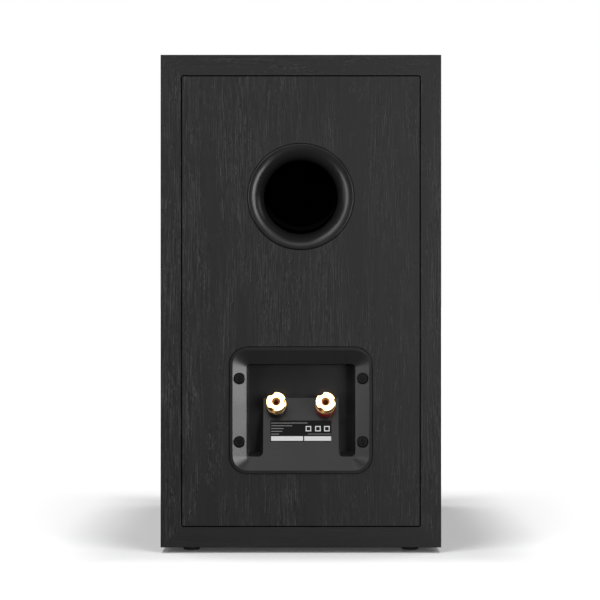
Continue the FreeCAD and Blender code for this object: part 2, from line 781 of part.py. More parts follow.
# --- woofer ---
def woofer_basket():
    """The cast frame with six windows between its spokes."""
    back = BASKET_BACK
    steps = [
        (WOOFER_FLANGE_RADIUS, 0),
        (WOOFER_FLANGE_RADIUS, WOOFER_FLANGE),
        (74.0, WOOFER_FLANGE),
        (48.0, back - 4.0),
        (48.0, back),
        (24.0, back),
        (24.0, back - 3.0),
        (39.0, back - 3.0),
        (39.0, 40.0),
        (47.3, 40.0),
        (69.5, 6.3),
        (69.5, 2.0),
        (77.0, 2.0),
        (77.0, 0),
    ]
    frame = from_front(steps, WOOFER_Z)
    for x, z in around(6, 60.0):
        angle = -math.degrees(math.atan2(z, x))
        window = box((-20.0, 20.0), (FRONT + 11.0, FRONT + 36.0), (-16.0, 16.0))
        window.rotate(V(0, 0, 0), V(0, 1, 0), angle)
        window.translate(V(x, 0, WOOFER_Z + z))
        frame = frame.cut(window)
    for x, z in around(WOOFER_SCREWS, WOOFER_SCREW_CIRCLE, 30.0):
        hole = rod(PILOT_RADIUS + 0.4, x, WOOFER_Z + z, (FRONT, FRONT + WOOFER_FLANGE))
        sink = rod(3.9, x, WOOFER_Z + z, (FRONT, FRONT + 2.4))
        frame = frame.cut(hole).cut(sink)
    parts["woofer_basket"] = frame


def woofer_motor():
    """Ferrite ring, top plate and vented yoke."""
    plate = tube(COIL_RADIUS + 1.0, 45.0, BASKET_BACK, MAGNET_START)
    magnet = tube(24.0, 50.0, MAGNET_START, YOKE_START)
    pole = COIL_INNER - 0.7
    yoke = [
        (5.0, BASKET_BACK - 1.0),
        (pole, BASKET_BACK - 1.0),
        (pole, YOKE_START),
        (45.0, YOKE_START),
        (45.0, YOKE_START + YOKE),
        (5.0, YOKE_START + YOKE),
    ]
    parts["woofer_top_plate"] = from_front(plate, WOOFER_Z)
    parts["woofer_magnet"] = from_front(magnet, WOOFER_Z)
    parts["woofer_pole_piece"] = from_front(yoke, WOOFER_Z)


def woofer_moving_parts():
    """Voice coil, curved paper cone and domed dust cap."""
    coil = [
        (COIL_INNER, 33.0),
        (COIL_RADIUS, 33.0),
        (COIL_RADIUS, 46.0),
        (COIL_RADIUS + 0.4, 46.0),
        (COIL_RADIUS + 0.4, 62.0),
        (COIL_RADIUS, 62.0),
        (COIL_RADIUS, 65.0),
        (COIL_INNER, 65.0),
    ]
    rim = SURROUND_INNER + 0.5
    cone = [
        (rim, 2.0),
        (53.5, 2.0),
        ((33.0, 14.5), (COIL_RADIUS, 33.0)),
        (COIL_RADIUS, 36.0),
        ((34.0, 16.8), (53.5, 3.2)),
        (rim, 3.2),
    ]
    cap = dome_shell(13.0, (24.2, 23.25), (23.3, 24.3), 14.0)
    parts["woofer_voice_coil"] = from_front(coil, WOOFER_Z)
    parts["woofer_cone"] = from_front(cone, WOOFER_Z)
    parts["woofer_dust_cap"] = from_front(cap, WOOFER_Z)


def woofer_suspension():
    """Half-roll rubber surround, its clamping ring and the corrugated spider."""
    middle = (SURROUND_INNER + SURROUND_OUTER) / 2.0
    surround = [
        (77.0, 1.0),
        (SURROUND_OUTER, 1.0),
        ((middle, 1.0 - SURROUND_ROLL), (SURROUND_INNER, 1.0)),
        (54.0, 1.0),
        (54.0, 2.0),
        (SURROUND_INNER + 1.0, 2.0),
        ((middle, 2.0 - SURROUND_ROLL), (SURROUND_OUTER - 1.0, 2.0)),
        (77.0, 2.0),
    ]
    ring = [(70.6, 1.0), (70.6, -0.5), (71.6, -1.5), (76.0, -1.5), (77.0, -0.5), (77.0, 1.0)]
    waves = 5
    spider = [(COIL_RADIUS, 38.8)]
    back = []
    pitch = (38.0 - COIL_RADIUS) / waves
    for wave in range(waves):
        start = COIL_RADIUS + wave * pitch
        spider.append((start + pitch * 0.25, 37.8))
        spider.append((start + pitch * 0.75, 39.2))
        back.append((start + pitch * 0.25, 38.5))
        back.append((start + pitch * 0.75, 39.9))
    spider += [(39.0, 39.2), (46.0, 39.2), (46.0, 40.0), (39.0, 40.0)]
    spider += back[::-1] + [(COIL_RADIUS, 39.5)]
    parts["woofer_surround"] = from_front(surround, WOOFER_Z)
    parts["woofer_trim_ring"] = from_front(ring, WOOFER_Z)
    parts["woofer_spider"] = from_front(spider, WOOFER_Z)


def woofer_fittings():
    """Six screws and the two connection tabs on their block."""
    solids = []
    for index, (x, z) in enumerate(around(WOOFER_SCREWS, WOOFER_SCREW_CIRCLE, 30.0)):
        turn = 10.0 + 35.0 * index
        solids.append(screw(x, WOOFER_Z + z, FRONT + 2.4, 1, 3.7, 13.0, turn))
    parts["woofer_screws"] = group(solids)
    low = WOOFER_Z - 48.0
    y = FRONT + 44.0
    block = box((-12.0, 12.0), (y, y + 4.0), (low - 8.0, low))
    for x in (-7.0, 7.0):
        block = block.fuse(box((x - 2.0, x + 2.0), (y + 4.0, y + 11.0), (low - 5.0, low - 4.0)))
    parts["woofer_terminals"] = block


# --- tweeter ---
def tweeter():
    """Faceplate with a short flare, soft dome, motor and rear chamber."""
    plate = [
        (TWEETER_FACE_RADIUS, 0),
        (36.0, 0),
        ((26.0, 1.0), (18.5, 4.6)),
        (18.5, 7.0),
        (37.0, 7.0),
        (37.0, TWEETER_FACE),
        (TWEETER_FACE_RADIUS, TWEETER_FACE),
    ]
    face = from_front(plate, TWEETER_Z)
    screws = []
    for x, z in around(4, TWEETER_SCREW_CIRCLE, 45.0):
        place = (x, TWEETER_Z + z)
        face = face.cut(rod(PILOT_RADIUS + 0.3, *place, (FRONT, FRONT + TWEETER_FACE)))
        face = face.cut(rod(3.5, *place, (FRONT, FRONT + 2.1)))
        screws.append(screw(*place, FRONT + 2.1, 1, 3.3, 13.0, 30.0))
    parts["tweeter_faceplate"] = face
    parts["tweeter_screws"] = group(screws)
    dome = dome_shell(2.0, (DOME_RADIUS, 7.0), (DOME_RADIUS - 0.6, 7.0), 2.5)
    parts["tweeter_dome"] = from_front(dome, TWEETER_Z)
    roll = [
        (24.0, 7.0),
        (18.0, 7.0),
        ((16.0, 5.2), (DOME_RADIUS, 7.0)),
        (DOME_RADIUS, 7.6),
        (DOME_RADIUS + 0.6, 7.6),
        ((16.0, 5.9), (17.4, 7.6)),
        (24.0, 7.6),
    ]
    parts["tweeter_surround"] = from_front(roll, TWEETER_Z)
    coil = tube(DOME_RADIUS - 0.4, DOME_RADIUS, 7.0, 14.5)
    parts["tweeter_voice_coil"] = from_front(coil, TWEETER_Z)
    parts["tweeter_top_plate"] = from_front(tube(14.8, 34.0, 7.6, 11.6), TWEETER_Z)
    parts["tweeter_magnet"] = from_front(tube(18.0, 36.0, 11.6, 23.6), TWEETER_Z)
    pole = [(3.0, 8.2), (13.0, 8.2), (13.0, 23.6), (34.0, 23.6), (34.0, 28.6), (3.0, 28.6)]
    parts["tweeter_pole_piece"] = from_front(pole, TWEETER_Z)
    chamber = [
        (30.0, 28.6),
        (30.0, 41.0),
        ((29.2, 43.2), (27.0, 44.0)),
        (0, 44.0),
        (0, 42.0),
        (27.0, 42.0),
        (28.0, 41.0),
        (28.0, 28.6),
    ]
    parts["tweeter_rear_cup"] = from_front(chamber, TWEETER_Z)
    low = TWEETER_Z - 36.0
    block = box((-9.0, 9.0), (FRONT + 23.6, FRONT + 26.6), (low - 6.0, low + 3.0))
    block = block.cut(parts["tweeter_pole_piece"])
    block = block.cut(parts["tweeter_magnet"])
    for x in (-5.5, 5.5):
        tab = box((x - 1.5, x + 1.5), (FRONT + 26.6, FRONT + 33.0), (low - 4.0, low - 3.2))
        block = block.fuse(tab)
    parts["tweeter_terminals"] = block


# --- grille ---
def peg_places():
    """The four grille pegs near the baffle's corners."""
    return [(x, BOTTOM + up) for x in (-PEG_X, PEG_X) for up in (PEG_LOW, PEG_HIGH)]


def grille_block(size, start, end):
    """A rounded upright slab in front of the baffle, between two distances."""
    wire = closed_wire(centred(size), lambda x, v: V(x, FRONT - start, GRILLE_Z + v))
    return Part.Face(wire).extrude(V(0, start - end, 0))


def grille():
    """Frame with two windows, stretched cloth, pegs and the rubber sockets."""
    width, height, radius = GRILLE
    inner = (width - 2 * CLOTH, height - 2 * CLOTH, radius - CLOTH)
    front = GRILLE_DEPTH - CLOTH
    frame = grille_block(inner, GRILLE_GAP, front)
    for low, high in (WOOFER_WINDOW, TWEETER_WINDOW):
        steps = rounded((-WINDOW_HALF, WINDOW_HALF), (low, high), [WINDOW_CORNER] * 4)
        wire = closed_wire(steps, lambda x, z: V(x, FRONT, z))
        frame = frame.cut(Part.Face(wire).extrude(V(0, -GRILLE_DEPTH, 0)))
    cloth = grille_block(GRILLE, GRILLE_GAP, GRILLE_DEPTH)
    cloth = cloth.cut(grille_block(inner, GRILLE_GAP, front))
    pegs = []
    sockets = []
    for x, z in peg_places():
        peg = rod(PEG_RADIUS, x, z, (FRONT - 6.0, FRONT + PEG_INTO))
        tip = [edge for edge in peg.Edges if edge.BoundBox.YMin > FRONT + PEG_INTO - 0.1]
        pegs.append(peg.makeChamfer(1.0, tip))
        frame = frame.cut(rod(PEG_RADIUS, x, z, (FRONT - 6.0, FRONT)))
        socket = rod(SOCKET_RADIUS, x, z, (FRONT, FRONT + SOCKET_DEPTH))
        bore = rod(PEG_RADIUS + RUNNING_GAP, x, z, (FRONT, FRONT + PEG_INTO + 1.0))
        sockets.append(socket.cut(bore))
    parts["grille_frame"] = frame
    parts["grille_cloth"] = cloth
    parts["grille_pegs"] = group(pegs)
    parts["grille_sockets"] = group(sockets)


# --- crossover and wiring ---
def crossover():
    """Filter board on four standoffs on the cabinet's floor."""
    half_x = BOARD[0] / 2.0
    y0 = BOARD_MIDDLE_Y - BOARD[1] / 2.0
    y1 = BOARD_MIDDLE_Y + BOARD[1] / 2.0
    board = box((-half_x, half_x), (y0, y1), (BOARD_Z, BOARD_TOP))
    standoffs = []
    for x in (6.0 - half_x, half_x - 6.0):
        for y in (y0 + 6.0, y1 - 6.0):
            stem = Part.makeCylinder(1.5, BOARD[2] + 2.0, V(x, y, BOARD_Z))
            board = board.cut(stem)
            post = Part.makeCylinder(4.0, BOARD_LIFT, V(x, y, FLOOR))
            standoffs.append(post.fuse(stem))
    parts["crossover_board"] = board
    parts["crossover_standoffs"] = group(standoffs)
    coils = []
    for x, y, radius, height in ((-22.0, 78.0, 16.0, 16.0), (24.0, 48.0, 13.0, 13.0)):
        at = V(x, y, BOARD_TOP)
        coil = Part.makeCylinder(radius, height, at)
        coils.append(coil.cut(Part.makeCylinder(radius * 0.45, height, at)))
    parts["crossover_inductors"] = group(coils)
    cans = []
    for x, y, radius in ((-22.0, 44.0, 7.5), (24.0, 70.0, 6.0)):
        at = V(x - 14.0, y, BOARD_TOP + radius)
        cans.append(Part.makeCylinder(radius, 28.0, at, V(1, 0, 0)))
    parts["crossover_capacitors"] = group(cans)
    blocks = []
    for y in (26.0, 88.0):
        blocks.append(box((12.0, 36.0), (y - 4.5, y + 4.5), (BOARD_TOP, BOARD_TOP + 9.0)))
    parts["crossover_resistors"] = group(blocks)


def wiring():
    """Insulated leads: posts to board, board to woofer and board to tweeter."""
    inputs = []
    woofer_pair = []
    tweeter_pair = []
    v, depth = tongue_point(POST_ALONG - 9.5, TONGUE_WALL + TAB)
    for side in (-1, 1):
        x = side * POST_X
        start = V(x, REAR - depth, CUP_Z + v)
        away = start - V(0, COS, SIN) * 14.0
        end = V(side * 10.0, 94.0 + side * 2.0, BOARD_TOP)
        above = end + V(0, 0, 15.0)
        between = V(side * 13.0, 110.0, 62.0)
        inputs.append(lead([start, away, between, above, end]))
        tab = V(side * 7.0, FRONT + 55.0, WOOFER_Z - 52.5)
        end = V(side * 3.0, 26.0, BOARD_TOP)
        route = [tab, tab + V(0, 14.0, 0), V(side * 6.0, -40.0, 44.0)]
        route += [V(side * 4.0, 10.0, 46.0), end + V(0, 0, 12.0), end]
        woofer_pair.append(lead(route))
        tab = V(side * 5.5, FRONT + 33.0, TWEETER_Z - 39.6)
        end = V(42.0, 48.0 + side * 5.0, BOARD_TOP)
        route = [tab, tab + V(0, 16.0, 0), V(14.0 + side * 3.0, -50.0, 208.0)]
        route += [V(30.0, 6.0 + side * 4.0, 140.0), end + V(0, 0, 45.0), end]
        tweeter_pair.append(lead(route))
    parts["input_leads"] = group(inputs)
    parts["woofer_leads"] = group(woofer_pair)
    parts["tweeter_leads"] = group(tweeter_pair)


def build():
    """Makes every piece and writes one file for each."""
    for make in (
        wrapped_panels,
        rear_panel,
        front_baffle,
        shelf_brace,
        damping_pads,
        rubber_feet,
        port_tube,
        terminal_cup,
        terminal_gasket,
        terminal_screws,
        rating_label,
        binding_posts,
        woofer_basket,
        woofer_motor,
        woofer_moving_parts,
        woofer_suspension,
        woofer_fittings,
        tweeter,
        grille,
        crossover,
        wiring,
    ):
        make()
    os.makedirs("parts", exist_ok=True)
    for name, shape in parts.items():
        shape.exportStep("parts/" + name + ".step")


build()
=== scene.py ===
import math

import bmesh
import bpy
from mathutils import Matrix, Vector, noise


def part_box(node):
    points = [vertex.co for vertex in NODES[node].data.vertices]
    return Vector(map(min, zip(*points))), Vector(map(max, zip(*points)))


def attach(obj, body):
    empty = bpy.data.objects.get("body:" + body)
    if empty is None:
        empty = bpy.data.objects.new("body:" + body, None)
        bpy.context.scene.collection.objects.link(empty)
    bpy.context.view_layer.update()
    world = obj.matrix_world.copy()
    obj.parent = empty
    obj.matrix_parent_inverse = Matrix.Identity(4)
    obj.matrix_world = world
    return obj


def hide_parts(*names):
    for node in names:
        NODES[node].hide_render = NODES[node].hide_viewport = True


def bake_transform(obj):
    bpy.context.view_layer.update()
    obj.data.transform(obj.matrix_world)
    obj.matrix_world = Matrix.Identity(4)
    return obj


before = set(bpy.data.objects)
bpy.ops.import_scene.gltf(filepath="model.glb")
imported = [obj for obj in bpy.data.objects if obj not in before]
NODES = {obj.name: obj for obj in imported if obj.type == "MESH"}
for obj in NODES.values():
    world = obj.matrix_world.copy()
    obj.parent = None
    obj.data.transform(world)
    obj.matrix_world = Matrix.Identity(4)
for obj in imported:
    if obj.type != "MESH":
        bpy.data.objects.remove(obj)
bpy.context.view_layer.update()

# Rear view of a ported bookshelf speaker. Everything is in metres, in the CAD frame.
MM = 0.001
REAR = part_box("rear_panel")[1].y
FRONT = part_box("front_baffle")[0].y
LEFT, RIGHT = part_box("front_baffle")[0].x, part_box("front_baffle")[1].x
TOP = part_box("top_panel")[1].z
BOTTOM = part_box("bottom_panel")[0].z
TONGUE_TILT = math.radians(20.0)  # the label's slope and the posts' axis, off upright and level
BOARD = 15 * MM  # the panels that frame the inset rear
SEAM_SHADE_DEPTH = 0.12 * MM  # where the gap round the inset rear starts to be painted in shade, near black
SEAM_SHADE_REACH = 2 * MM  # how far that painted shade in the gap may reach under the panels
PORE_DEPTH = 0.16 * MM  # how deep the relief of the foil's grain is
PORT_SHADE_DEPTH = 9.2 * MM  # the port's tube is painted in shade, near black, from this depth inwards


# --- node helpers ---
class Shader:
    """A material with one Principled shader and short calls for its nodes."""

    def __init__(self, name, color, roughness, **sockets):
        self.material = bpy.data.materials.new(name)
        self.material.use_nodes = True
        self.tree = self.material.node_tree
        self.shader = self.tree.nodes["Principled BSDF"]
        self.shader.inputs["Base Color"].default_value = (*color, 1.0)
        self.shader.inputs["Roughness"].default_value = roughness
        for key, value in sockets.items():
            self.shader.inputs[key.replace("_", " ")].default_value = value

    def put(self, target, value):
        """Gives a socket a value, or links it to another node's output."""
        if isinstance(value, bpy.types.NodeSocket):
            self.tree.links.new(value, target)
        else:
            target.default_value = value

    def add(self, kind, inputs=None, output=0, **settings):
        """Adds a node with settings and inputs, and returns one of its outputs."""
        made = self.tree.nodes.new(kind)
        for key, value in settings.items():
            setattr(made, key, value)
        for key, value in (inputs or {}).items():
            self.put(made.inputs[key], value)
        return made.outputs[output]

    def math(self, operation, a, b=0.0, c=0.0):
        return self.add("ShaderNodeMath", {0: a, 1: b, 2: c}, operation=operation)

    def place(self, scale=(1, 1, 1), rotation=(0, 0, 0)):
        """Object coordinates, turned and scaled, so patterns stay on the piece."""
        where = self.add("ShaderNodeTexCoord", output=3)
        inputs = {"Vector": where, "Scale": scale, "Rotation": rotation}
        return self.add("ShaderNodeMapping", inputs)

    def noise(self, where, scale, detail=3.0, rough=0.5, distort=0.0):
        inputs = {
            "Vector": where,
            "Scale": scale,
            "Detail": detail,
            "Roughness": rough,
            "Distortion": distort,
        }
        return self.add("ShaderNodeTexNoise", inputs)

    def remap(self, value, low, high, to_low=0.0, to_high=1.0):
        inputs = {0: value, 1: low, 2: high, 3: to_low, 4: to_high}
        return self.add("ShaderNodeMapRange", inputs)

    def mix(self, share, a, b):
        """Mixes two colours."""
        inputs = {0: share, 6: (*a, 1.0) if isinstance(a, tuple) else a}
        inputs[7] = (*b, 1.0) if isinstance(b, tuple) else b
        return self.add("ShaderNodeMix", inputs, output=2, data_type="RGBA")

    def color(self, value):
        self.put(self.shader.inputs["Base Color"], value)

    def roughness(self, value):
        self.put(self.shader.inputs["Roughness"], value)

    def bump(self, height, distance, strength=1.0, before=None):
        """Adds surface relief, with distance in metres."""
        inputs = {"Height": height, "Distance": distance, "Strength": strength}
        if before is not None:
            inputs["Normal"] = before
        normal = self.add("ShaderNodeBump", inputs)
        self.put(self.shader.inputs["Normal"], normal)
        return normal


def xyz(shader, where):
    """The three coordinates of a point as separate outputs."""
    made = shader.tree.nodes.new("ShaderNodeSeparateXYZ")
    shader.put(made.inputs[0], where)
    return made.outputs[0], made.outputs[1], made.outputs[2]


# --- materials ---
def below_rear(s, depth, half, low, high):
    """One where a point lies under the rear face and within a frame, as in the seams, to mask the painted
    shade there.
    """
    x, y, z = xyz(s, s.place())
    under = s.math("LESS_THAN", y, REAR - depth)
    within = s.math("LESS_THAN", s.math("ABSOLUTE", x), half)
    above = s.math("GREATER_THAN", z, low)
    beneath = s.math("LESS_THAN", z, high)
    return s.math("MULTIPLY", s.math("MULTIPLY", under, within), s.math("MULTIPLY", above, beneath))


def black_ash(name, along, relief, base=0.0142):
    """Black ash foil with embossed open pores, its grain along X, Y or Z.

    Each pore gets a painted highlight on one side and painted shade on the other, as if light fell from one
    side. The third argument is how strong the pores' relief, and with it that painted highlight and shade,
    is at the -X side and at the +X side.
    """
    s = Shader(name, (base, base, base), 0.5, Specular_IOR_Level=0.4)

    def stretched(keep):
        return tuple(keep if axis == along else 1.0 for axis in "XYZ")

    kink = s.noise(s.place(stretched(0.55)), 420.0, 2.0, 0.6)
    sway = s.noise(s.place(stretched(0.2)), 26.0, 2.0, 0.5)
    push = s.math("ADD", s.math("MULTIPLY", kink, 0.0011), s.math("MULTIPLY", sway, 0.012))
    path = s.add("ShaderNodeVectorMath", {0: s.place(), 1: push}, operation="ADD")

    def grain(keep, shift, scale, detail):
        moved = s.add("ShaderNodeVectorMath", {0: path, 1: (shift,) * 3}, operation="ADD")
        where = s.add("ShaderNodeMapping", {"Vector": moved, "Scale": stretched(keep)})
        return s.noise(where, scale, detail, 0.55)

    def pore_relief_and_light(keep, scale, detail, step):
        return s.math("SUBTRACT", grain(keep, 0.0, scale, detail), grain(keep, step, scale, detail))

    def patches(keep, scale, low, high):
        return s.remap(s.noise(s.place(stretched(keep)), scale, 3.0, 0.6, 0.5), low, high)

    # Each grain pattern minus a shifted copy: where it rises the pore gets a painted highlight, where it
    # falls painted shade; the same values give the bump.
    streaks = s.math("MULTIPLY", pore_relief_and_light(0.035, 1150.0, 1.5, 0.0003), patches(0.14, 55.0, 0.36, 0.58))
    flecks = s.math("MULTIPLY", pore_relief_and_light(0.25, 1300.0, 2.0, 0.0003), patches(0.3, 120.0, 0.52, 0.66))
    pores = s.math("ADD", s.math("MULTIPLY", streaks, 2.3), s.math("MULTIPLY", flecks, 2.2))
    # the pores' relief and painted light grow from one side of the panel to the other
    pore_relief_and_painted_light = s.math("MULTIPLY", pores, s.remap(xyz(s, s.place())[0], LEFT, RIGHT, *relief))
    figure = s.noise(s.place(stretched(0.12)), 34.0, 3.0, 0.55, 0.8)
    soft = grain(0.02, 0.0, 330.0, 2.0)
    broad = s.math("ADD", s.math("MULTIPLY", figure, 0.5), s.math("MULTIPLY", soft, 0.5))
    tint = s.mix(s.remap(broad, 0.3, 0.7), (base * 0.82,) * 3, (base * 1.18,) * 3)
    # painted highlight on one side of each pore, then painted shade on the other side
    painted_pore_highlight = s.mix(s.remap(pore_relief_and_painted_light, 0.03, 0.75), tint, (base * 4.2,) * 3)
    painted_pore_shade = s.mix(s.remap(pore_relief_and_painted_light, -0.03, -0.6), painted_pore_highlight, (base * 0.25,) * 3)
    # The gap round the inset rear is painted near black as shade, and its shine is turned down.
    half, low, high = RIGHT - BOARD + SEAM_SHADE_REACH, BOTTOM + BOARD - SEAM_SHADE_REACH, TOP - BOARD + SEAM_SHADE_REACH
    seam_shade = below_rear(s, SEAM_SHADE_DEPTH, half, low, high)
    s.color(s.mix(seam_shade, painted_pore_shade, (0.0004,) * 3))
    s.put(s.shader.inputs["Specular IOR Level"], s.remap(seam_shade, 0.0, 1.0, 0.4, 0.02))
    s.roughness(s.remap(s.math("ADD", broad, pore_relief_and_painted_light), 0.3, 1.0, 0.46, 0.6))
    s.bump(pore_relief_and_painted_light, PORE_DEPTH, 0.5)
    return s.material


def moulded_black(name, base, roughness, grain=0.00002, painted_shade_below=None):
    """Injection-moulded plastic with a fine spark-eroded texture; given a depth as its last argument, it is
    painted near black as shade deeper than that, as down the port's tube.
    """
    s = Shader(name, (base, base, base * 1.02), roughness, Specular_IOR_Level=0.5)
    where = s.place()
    speck = s.noise(where, 5200.0, 2.0, 0.6)
    cloud = s.noise(where, 42.0, 3.0, 0.5)
    low = tuple(base * v for v in (0.9, 0.9, 0.92))
    high = tuple(base * v for v in (1.12, 1.12, 1.15))
    tint = s.mix(cloud, low, high)
    # Deeper than the given depth, painted shade turns the colour near black and takes the shine away.
    if painted_shade_below is not None:
        depth = xyz(s, where)[1]
        painted_shade_mask = s.remap(depth, painted_shade_below, painted_shade_below - 1.5 * MM)
        tint = s.mix(painted_shade_mask, tint, (0.0005,) * 3)
        s.put(s.shader.inputs["Specular IOR Level"], s.remap(painted_shade_mask, 0.0, 1.0, 0.5, 0.0))
    s.color(tint)
    mixed = s.math("ADD", s.math("MULTIPLY", cloud, 0.5), s.math("MULTIPLY", speck, 0.5))
    s.roughness(s.remap(mixed, 0.3, 0.7, roughness - 0.04, roughness + 0.06))
    s.bump(speck, grain, 0.5)
    return s.material


def gold_plate(name, dark, light):
    """Gold plating, polished on the end faces and satin round the sides."""
    s = Shader(name, light, 0.16, Metallic=1.0)
    where = s.place()
    smear = s.noise(where, 260.0, 3.0, 0.55, 0.4)
    fine = s.noise(s.place((1, 0.2, 1)), 6000.0, 1.0)
    facing = s.add("ShaderNodeTexCoord", output=1)
    axis = (0.0, math.cos(TONGUE_TILT), math.sin(TONGUE_TILT))
    along = s.add("ShaderNodeVectorMath", {0: facing, 1: axis}, 1, operation="DOT_PRODUCT")
    side = s.remap(along, 0.97, 0.9)
    polish = s.remap(smear, 0.35, 0.7, 0.1, 0.18)
    s.roughness(s.math("ADD", polish, s.math("MULTIPLY", side, 0.3)))
    s.color(s.mix(smear, dark, light))
    s.bump(fine, 0.000004, 0.4)
    return s.material


def gloss_plastic(name, color, roughness=0.18):
    """Glossy coloured plastic with a slight orange-peel surface."""
    s = Shader(name, color, roughness, Specular_IOR_Level=0.5, Coat_Weight=0.15)
    peel = s.noise(s.place(), 900.0, 2.0)
    darker = tuple(v * 0.8 for v in color)
    s.color(s.mix(peel, darker, color))
    s.roughness(s.remap(peel, 0.3, 0.7, roughness - 0.05, roughness + 0.08))
    s.bump(peel, 0.00001, 0.4)
    return s.material


def painted_steel(name, base, roughness=0.38, metallic=0.35, specular=0.5):
    """Black oxide or painted metal with worn, uneven gloss."""
    s = Shader(name, (base,) * 3, roughness, Metallic=metallic, Specular_IOR_Level=specular)
    wear = s.noise(s.place(), 700.0, 4.0, 0.6)
    s.color(s.mix(s.remap(wear, 0.45, 0.75), (base,) * 3, (base * 2.4,) * 3))
    s.roughness(s.remap(wear, 0.3, 0.7, roughness - 0.08, roughness + 0.14))
    s.bump(wear, 0.00002, 0.5)
    return s.material


def bare_metal(name, color, roughness):
    """Plated or brushed metal with fine uneven sheen."""
    s = Shader(name, color, roughness, Metallic=1.0)
    brush = s.noise(s.place((1, 0.06, 1)), 2600.0, 3.0, 0.6)
    darker = tuple(v * 0.8 for v in color)
    s.color(s.mix(brush, darker, color))
    s.roughness(s.remap(brush, 0.3, 0.7, roughness - 0.08, roughness + 0.1))
    s.bump(brush, 0.00001, 0.4)
    return s.material


def rubber(name, base, roughness=0.62):
    """Matte rubber with a dusty bloom."""
    s = Shader(name, (base,) * 3, roughness, Specular_IOR_Level=0.35)
    bloom = s.noise(s.place(), 160.0, 4.0, 0.6)
    speck = s.noise(s.place(), 3800.0, 1.0)
    s.color(s.mix(bloom, (base * 0.85,) * 3, (base * 1.5,) * 3))
    s.roughness(s.remap(bloom, 0.3, 0.7, roughness - 0.08, roughness + 0.1))
    s.bump(speck, 0.00002, 0.5)
    return s.material


def paper_pulp(name, base, light):
    """Pressed paper with scattered pale fibres, as a driver's cone has."""
    s = Shader(name, base, 0.7, Specular_IOR_Level=0.3)
    where = s.place()
    warp = s.noise(where, 220.0, 2.0)
    fibres = s.noise(where, 640.0, 3.0, 0.7, 2.2)
    thin = s.math("ABSOLUTE", s.math("SUBTRACT", fibres, 0.5))
    fibre = s.remap(thin, 0.0, 0.022, 1.0, 0.0)
    picked = s.math("MULTIPLY", fibre, s.remap(warp, 0.5, 0.62))
    s.color(s.mix(picked, base, light))
    s.roughness(s.remap(warp, 0.3, 0.7, 0.62, 0.78))
    s.bump(fibres, 0.00008, 0.6)
    return s.material


def woven(name, color, pitch, depth, roughness=0.85, sheen=0.2):
    """Plain-weave cloth: two sets of threads that pass over and under, with painted shade in the hollows
    between them.
    """
    s = Shader(name, color, roughness, Sheen_Weight=sheen, Sheen_Roughness=0.5)
    turns = 2.0 * math.pi / pitch
    x, y, z = xyz(s, s.place())
    across = s.math("SINE", s.math("MULTIPLY", s.math("ADD", x, s.math("MULTIPLY", y, 0.7)), turns))
    along = s.math("SINE", s.math("MULTIPLY", s.math("ADD", z, s.math("MULTIPLY", y, 0.7)), turns))
    weave = s.math("MULTIPLY", across, along)
    slub = s.noise(s.place(), 420.0, 3.0, 0.6)
    height = s.math("ADD", s.math("ABSOLUTE", weave), s.math("MULTIPLY", slub, 0.35))
    uneven = s.remap(slub, 0.36, 0.64)
    thread = s.mix(uneven, tuple(v * 0.6 for v in color), tuple(v * 1.5 for v in color))
    # low places of the weave are painted darker, as shade between the threads
    s.color(s.mix(s.remap(height, 0.1, 0.9), tuple(v * 0.3 for v in color), thread))
    s.roughness(s.remap(slub, 0.3, 0.7, roughness - 0.06, roughness + 0.08))
    s.bump(height, depth, 0.8)
    return s.material


def fibreboard(name, color):
    """Raw pressed board."""
    s = Shader(name, color, 0.8)
    chips = s.noise(s.place(), 900.0, 4.0, 0.7)
    s.color(s.mix(chips, tuple(v * 0.7 for v in color), tuple(v * 1.2 for v in color)))
    s.roughness(s.remap(chips, 0.3, 0.7, 0.72, 0.88))
    s.bump(chips, 0.00006, 0.5)
    return s.material


def wadding(name):
    """Fluffy polyester wadding."""
    s = Shader(name, (0.55, 0.56, 0.55), 0.95, Sheen_Weight=0.4)
    fluff = s.noise(s.place(), 240.0, 6.0, 0.75, 1.2)
    s.color(s.mix(fluff, (0.34, 0.35, 0.34), (0.72, 0.73, 0.72)))
    s.roughness(s.remap(fluff, 0.3, 0.7, 0.88, 1.0))
    s.bump(fluff, 0.0012, 0.8)
    return s.material


def wound_wire(name, color, pitch, axis):
    """Close-wound enamelled wire, turn beside turn, with painted shade in the grooves between turns."""
    s = Shader(name, color, 0.3, Metallic=0.8, Coat_Weight=0.3)
    along = xyz(s, s.place())["XYZ".index(axis)]
    turns = s.math("SINE", s.math("MULTIPLY", along, 2.0 * math.pi / pitch))
    ridge = s.math("ABSOLUTE", turns)
    # the grooves between turns are painted darker, as shade
    s.color(s.mix(ridge, tuple(v * 0.35 for v in color), color))
    s.roughness(s.remap(ridge, 0.0, 1.0, 0.5, 0.26))
    s.bump(ridge, pitch * 0.3, 0.8)
    return s.material


def circuit_board(name):
    """Laminate with a woven glass print-through and faint copper runs."""
    s = Shader(name, (0.30, 0.19, 0.07), 0.45)
    x = xyz(s, s.place())[0]
    runs = s.math("SINE", s.math("MULTIPLY", x, 900.0))
    lanes = s.remap(s.math("ADD", runs, s.noise(s.place(), 60.0)), 0.9, 1.0)
    s.color(s.mix(lanes, (0.30, 0.19, 0.07), (0.36, 0.25, 0.10)))
    s.roughness(s.remap(lanes, 0.0, 1.0, 0.5, 0.36))
    s.bump(lanes, 0.00004, 0.6)
    return s.material


def label_film(name):
    """Dark printed film with a slight texture."""
    s = Shader(name, (0.007, 0.007, 0.008), 0.42, Specular_IOR_Level=0.14)
    speck = s.noise(s.place(), 1800.0, 3.0, 0.6)
    s.color(s.mix(speck, (0.006, 0.006, 0.007), (0.008, 0.008, 0.009)))
    s.roughness(s.remap(speck, 0.3, 0.7, 0.38, 0.5))
    s.bump(speck, 0.000008, 0.4)
    return s.material


